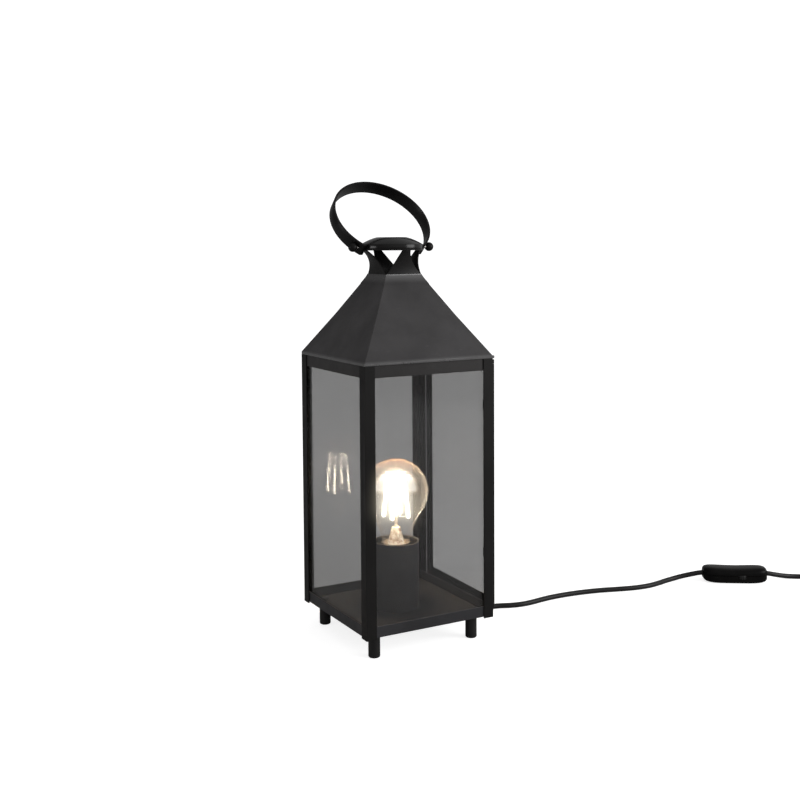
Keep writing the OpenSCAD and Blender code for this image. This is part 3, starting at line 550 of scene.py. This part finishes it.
def bulb_glass():
    """Clear glass with an amber breath near its top, a bright rim, a painted glow in front of the filaments
    and a faint painted glow elsewhere.
    """
    s = Shader("bulb_glass", Specular_IOR_Level=0.9)
    height = s.height()
    facing = s.facing()
    top = s.spread(height, 0, 1, *AMBER_HEIGHTS)
    amber = s.clouded((0.46, 0.28, 0.17), (0.56, 0.36, 0.24), 40, 3)
    s.feed("Base Color", s.mixed(top, (0.44, 0.45, 0.47), amber))
    band = s.math("MULTIPLY", s.spread(height, 0, 1, *GLOW_FOOT), s.spread(height, 1, 0, *GLOW_TOP))
    glow = s.math("MULTIPLY", band, s.spread(facing, 1, 0, *GLOW_SIDE))
    # painted glow: strong in front of the filaments, faint over the rest of the glass
    s.feed("Emission Color", s.mixed(glow, (0.95, 0.70, 0.50), (1.0, 0.95, 0.88)))
    s.feed("Emission Strength", s.spread(glow, 0.15, 2.8, 0, 1))
    rim = s.math("MULTIPLY", s.math("POWER", facing, 5.0), 0.65)
    veil = s.math("ADD", rim, s.spread(top, CLEAR_VEIL, AMBER_VEIL, 0, 1))
    s.feed("Alpha", s.math("ADD", veil, s.math("MULTIPLY", glow, GLOW_VEIL)))
    s.feed("Roughness", s.uneven(0.02, 0.05, 80, 3))
    return s.material


def glowing(name, colour, strength):
    """A wire that shines, with slight changes of its colour."""
    s = Shader(name, Emission_Strength=strength)
    tone = s.spread(s.noise(900), 0, 1)
    s.feed("Emission Color", s.mixed(tone, colour, tuple(min(1, c * 1.15) for c in colour)))
    s.feed("Base Color", s.mixed(tone, (0.9, 0.7, 0.4), (0.95, 0.8, 0.5)))
    return s.material


def stem_glass():
    """Pressed glass with seeds in it, with a painted glow that stands in for the light of the filaments
    above.
    """
    # the emission is a painted glow, brighter on the seeds
    s = Shader("stem_glass", Emission_Strength=0.75, Specular_IOR_Level=0.8)
    seeds = s.spread(s.noise(260, 4, 0.6), 0, 1, 0.42, 0.58)
    s.feed("Emission Color", s.mixed(seeds, (0.62, 0.46, 0.33), (1.0, 0.88, 0.7)))
    s.feed("Base Color", s.mixed(seeds, (0.4, 0.3, 0.22), (0.8, 0.74, 0.66)))
    s.feed("Roughness", s.spread(seeds, 0.08, 0.25, 0, 1))
    s.bump(seeds, 0.3, 0.6)
    return s.material


def cord_sheath():
    """Smooth black sheath, faintly uneven."""
    s = Shader("cord_sheath", Specular_IOR_Level=0.15)
    s.feed("Base Color", s.clouded((0.006, 0.006, 0.0065), (0.013, 0.012, 0.012), 120, 4))
    s.feed("Roughness", s.uneven(0.34, 0.48, 500, 3))
    s.bump(s.noise(1500, 2), 0.02, 0.4)
    return s.material


POST_TONE = (0.0058, 0.0054, 0.0053)
RAIL_TONE = (0.018, 0.0168, 0.0168)
RING_TONE = (0.0046, 0.0043, 0.0043)
CAP_TONE = (0.0042, 0.0039, 0.0039)
ROOF_TONE = (0.032, 0.0304, 0.0312)
TRAY_TONE = (0.0215, 0.0213, 0.0232)
TUBE_TONE = (0.132, 0.125, 0.129)
CROWN_TONE = (0.0085, 0.0080, 0.0080)
ROOF_FOOT, ROOF_TOP = (corner[2] / 1000 for corner in box_of("roof"))
ROOF_GLOSS = (ROOF_FOOT + 0.0015, ROOF_FOOT + 0.0040, ROOF_TOP - 0.006, ROOF_TOP - 0.001)

LOOKS = {
    "black_steel": painted("black_steel", POST_TONE, 0.45, 0.09),
    "rail_steel": painted("rail_steel", RAIL_TONE, 0.42),
    "ring_steel": painted("ring_steel", RING_TONE, 0.34, 0.09),
    "cap_steel": painted("cap_steel", CAP_TONE, 0.17, 0.15, depth=0.015),
    "roof_steel": painted("roof_steel", ROOF_TONE, 0.42, 0.16, polished=ROOF_GLOSS),
    # the tray's level faces carry a painted top light
    "tray_steel": painted("tray_steel", TRAY_TONE, 0.42, depth=0.01, top_light=3.0),
    "tube_steel": painted("tube_steel", TUBE_TONE, 0.42, depth=0.01),
    "crown_steel": painted("crown_steel", CROWN_TONE, 0.45, 0.09),
    "bare_steel": bare_metal("bare_steel", (0.30, 0.29, 0.28), (0.42, 0.41, 0.39), 0.35),
    "brass": bare_metal("brass", (0.55, 0.40, 0.16), (0.68, 0.52, 0.24), 0.3),
    "nickel": bare_metal("nickel", (0.52, 0.50, 0.47), (0.66, 0.64, 0.6), 0.25),
    "smoked_glass": smoked_glass("smoked_glass", 0.375, 0.38),
    "side_glass": smoked_glass("side_glass", 0.44, 0.385),
    "door_glass": smoked_glass("door_glass", 0.355, 0.37, 1.85),
    "bulb_glass": bulb_glass(),
    "stem_glass": stem_glass(),
    "filament": glowing("filament", (1.0, 0.86, 0.66), 90),
    "black_plastic": plastic("black_plastic", (0.005, 0.005, 0.005), (0.009, 0.0085, 0.0085), 0.42, 0.2),
    "bakelite": plastic("bakelite", (0.0026, 0.0025, 0.0025), (0.0044, 0.0042, 0.0041),
                        0.24, 0.06, ior=1.4),
    "cord_sheath": cord_sheath(),
    "wire": plastic("wire", (0.02, 0.06, 0.18), (0.03, 0.09, 0.25), 0.4),
}


# ---- bend of the roof's sheet into the petals, along the neck ----

NECK_HALF = 18.4               # from the axis to the sheet's outer face at the neck
NECK_BEND = 9                  # how far the bend reaches down the slope
NECK_STEPS = 6
HEM_H = 2.5                    # height of the roof's hem, from which the slope rises
PETAL_OUT, PETAL_UP = 0.05, 1.2         # where the bend ends, from the neck and from the crown's foot
SHEET_DEPTH = 0.5              # how deep the piece reaches into the sheet


def neck_bend():
    """A square skin over the neck: a soft curve outside, and a plain face inside the sheet."""
    roof_low, roof_high = box_of("roof")
    crown_low = box_of("crown")[0]
    half_low, neck_z = roof_high[1], roof_high[2]
    slope = math.atan2(half_low - NECK_HALF, neck_z - roof_low[2] - HEM_H)
    foot = (NECK_HALF + NECK_BEND * math.sin(slope), neck_z - NECK_BEND * math.cos(slope))
    corner = (NECK_HALF, neck_z)
    top = (NECK_HALF + PETAL_OUT, crown_low[2] + PETAL_UP)
    profile = []
    for i in range(NECK_STEPS + 1):
        t = i / NECK_STEPS
        profile.append(tuple(a * (1 - t) ** 2 + 2 * b * t * (1 - t) + c * t * t
                             for a, b, c in zip(foot, corner, top)))
    inner = NECK_HALF - SHEET_DEPTH
    profile += [(inner, top[1]), (inner, neck_z - SHEET_DEPTH), (foot[0] - SHEET_DEPTH, foot[1])]
    rings = []
    for r, z in profile:
        rings.append([(AXIS_X + x * r, y * r, z) for x, y in ((-1, -1), (1, -1), (1, 1), (-1, 1))])
    return loft(rings + rings[:1], capped=False)


make_piece("neck_bend", neck_bend(), sharp=50)


# ---- carried-over CAD nodes: a look each, and softened edges ----

CAD_WELD = 0.000005            # metres within which the points of neighbouring faces are joined


def dress(node, look, edge):
    """A look on a CAD node, and edges rounded by edge millimetres."""
    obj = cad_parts[node]
    if not obj.material_slots:
        obj.data.materials.append(look)
    for slot in obj.material_slots:
        slot.material = look
    if edge:
        weld = obj.modifiers.new("weld", "WELD")
        weld.merge_threshold = CAD_WELD
        bevel = obj.modifiers.new("edges", "BEVEL")
        bevel.width = edge / 1000
        bevel.segments = 2
        bevel.limit_method = "ANGLE"
        bevel.angle_limit = math.radians(SHARP_ANGLE)


def numbered(name, count):
    """The names of nodes that are numbered from 1."""
    return [f"{name}_{i}" for i in range(1, count + 1)]


NODE_LOOKS = {
    "black_steel": numbered("corner_post", 4) + ["pane_clips", "door_frame", "hinge_knuckles"],
    "crown_steel": ["crown"],
    "rail_steel": ["top_frame"],
    "cap_steel": ["cap", "cap_plate"],
    "ring_steel": ["handle_ring"] + numbered("handle_ball", 2),
    "roof_steel": ["roof"],
    "tray_steel": ["base_tray"],
    "tube_steel": ["lampholder_tube"],
    "bare_steel": ["foot_screws", "hinge_rod", "catch_magnet", "handle_rod", "handle_spacers",
                   "outlet_screws", "switch_screws", "filament_leads"],
    "brass": ["nipple", "nipple_nuts", "screw_shell", "centre_contact"],
    "nickel": ["bulb_cap", "plug_pins"],
    "smoked_glass": numbered("pane", 2),
    "side_glass": ["pane_3"],
    "door_glass": ["door_glass"],
    "bulb_glass": ["bulb_glass"],
    "stem_glass": ["bulb_stem"],
    "filament": numbered("filament", 4),
    "black_plastic": numbered("foot", 4) + ["lampholder", "bulb_base", "cord_outlet"],
    "wire": ["conductors"],
}
POST_EDGE = 0.25               # the third post, at the back, keeps its sharp edges
EDGES = {
    "roof": 0.4,
    "crown": 0.2,
    "cap": 0.35,
    "handle_ring": 0.35,
    "base_tray": 0.25,
    "door_frame": 0.3,
    "lampholder_tube": 0.3,
    "top_frame": 0.2,
    "cord_outlet": 0.8,
    "corner_post_1": POST_EDGE,
    "corner_post_2": POST_EDGE,
    "corner_post_4": POST_EDGE,
}
PIECE_LOOKS = {
    "cord": "cord_sheath",
    "boot": "cord_sheath",
    "switch_top": "bakelite",
    "switch_bottom": "bakelite",
    "wheel": "black_plastic",
    "plug": "bakelite",
    "neck_bend": "roof_steel",
}

for look, nodes in NODE_LOOKS.items():
    for node in nodes:
        dress(node, LOOKS[look], EDGES.get(node, 0))
for piece, look in PIECE_LOOKS.items():
    bpy.data.objects[piece].data.materials.append(LOOKS[look])


# ---- floor and light, in metres ----

FLOOR_REACH = 6.0
FLOOR_GLOW = 0.8               # what the floor shines toward the eye alone
SKY = (0.15, 1.1)              # light of the surroundings, at their darkest and their brightest
SKY_BRIGHTEST = (math.sin(CAMERA_YAW), -math.cos(CAMERA_YAW), 0)      # toward the front, on the right
SKY_SEEN = 1.15                # brightness of the background in the picture
AIM = Vector((0, 0, 0.25))     # what the soft lights point at
BULB_LIGHT_Z = 140             # millimetres, between the filaments
BULB_LIGHT_POWER = 0.7
BULB_LIGHT_COLOUR = (1.0, 0.72, 0.45)
BULB_LIGHT_SIZE = 0.012


def make_floor():
    """A white floor, evenly bright to the eye; what it throws back on the lamp is dimmer."""
    mesh = bpy.data.meshes.new("floor")
    side = FLOOR_REACH
    mesh.from_pydata([(-side, -side, 0), (side, -side, 0), (side, side, 0), (-side, side, 0)],
                     [], [(0, 1, 2, 3)])
    floor = bpy.data.objects.new("floor", mesh)
    bpy.context.scene.collection.objects.link(floor)
    s = Shader("floor", Specular_IOR_Level=0.1, Roughness=0.9, Emission_Color=(1, 1, 1, 1))
    s.feed("Base Color", s.clouded((0.5, 0.5, 0.5), (0.52, 0.52, 0.52), 3, 3))
    seen = s.node("ShaderNodeLightPath").outputs["Is Camera Ray"]
    s.feed("Emission Strength", s.math("MULTIPLY", seen, FLOOR_GLOW))
    mesh.materials.append(s.material)


def softbox(name, bearing, distance, height, size, energy):
    """A soft light at a bearing from +X, in degrees, that points at the lamp."""
    a = math.radians(bearing)
    place = Vector((distance * math.cos(a), distance * math.sin(a), height))
    data = bpy.data.lights.new(name, "AREA")
    data.shape = "RECTANGLE"
    data.size, data.size_y = size
    data.energy = energy
    light = bpy.data.objects.new(name, data)
    light.location = place
    light.rotation_mode = "QUATERNION"
    light.rotation_quaternion = (AIM - place).to_track_quat("-Z", "Y")
    bpy.context.scene.collection.objects.link(light)


def make_world():
    """White behind everything, and light from all around that is weakest from behind the lamp."""
    world = bpy.data.worlds.new("world")
    bpy.context.scene.world = world
    world.use_nodes = True
    nodes, links = world.node_tree.nodes, world.node_tree.links
    toward = nodes.new("ShaderNodeVectorMath")
    toward.operation = "DOT_PRODUCT"
    toward.inputs[1].default_value = SKY_BRIGHTEST
    links.new(nodes.new("ShaderNodeTexCoord").outputs["Generated"], toward.inputs[0])
    light = nodes.new("ShaderNodeMapRange")
    for key, value in (("From Min", -1), ("From Max", 1), ("To Min", SKY[0]), ("To Max", SKY[1])):
        light.inputs[key].default_value = value
    links.new(toward.outputs["Value"], light.inputs["Value"])
    seen = nodes.new("ShaderNodeMix")
    links.new(nodes.new("ShaderNodeLightPath").outputs["Is Camera Ray"], seen.inputs["Factor"])
    links.new(light.outputs["Result"], seen.inputs["A"])
    seen.inputs["B"].default_value = SKY_SEEN
    links.new(seen.outputs["Result"], nodes["Background"].inputs["Strength"])
    nodes["Background"].inputs["Color"].default_value = (1, 1, 1, 1)


def make_bulb_light():
    """A warm light in the bulb, which throws its glow on the lamp and no reflection."""
    data = bpy.data.lights.new("bulb_light", "POINT")
    data.energy = BULB_LIGHT_POWER
    data.color = BULB_LIGHT_COLOUR
    data.shadow_soft_size = BULB_LIGHT_SIZE
    light = bpy.data.objects.new("bulb_light", data)
    light.location = mm(AXIS_X, 0, BULB_LIGHT_Z)
    light.visible_glossy = False
    bpy.context.scene.collection.objects.link(light)


def make_bloom():
    """The glow round the filaments that a lens adds."""
    scene = bpy.context.scene
    scene.use_nodes = True
    tree = scene.node_tree
    tree.nodes.clear()
    layers = tree.nodes.new("CompositorNodeRLayers")
    glare = tree.nodes.new("CompositorNodeGlare")
    glare.glare_type = "BLOOM"
    for key, value in (("Threshold", 1.7), ("Smoothness", 0.1), ("Strength", 0.3), ("Size", 0.035)):
        glare.inputs[key].default_value = value
    out = tree.nodes.new("CompositorNodeComposite")
    tree.links.new(layers.outputs["Image"], glare.inputs["Image"])
    tree.links.new(glare.outputs["Image"], out.inputs["Image"])


make_floor()
make_world()
softbox("key", bearing=316, distance=1.5, height=0.62, size=(0.9, 0.8), energy=16)
softbox("rim", bearing=166, distance=1.5, height=0.36, size=(0.9, 0.25), energy=5)
make_bulb_light()
make_bloom()
bpy.context.scene.view_settings.view_transform = "Standard"

bpy.context.view_layer.update()
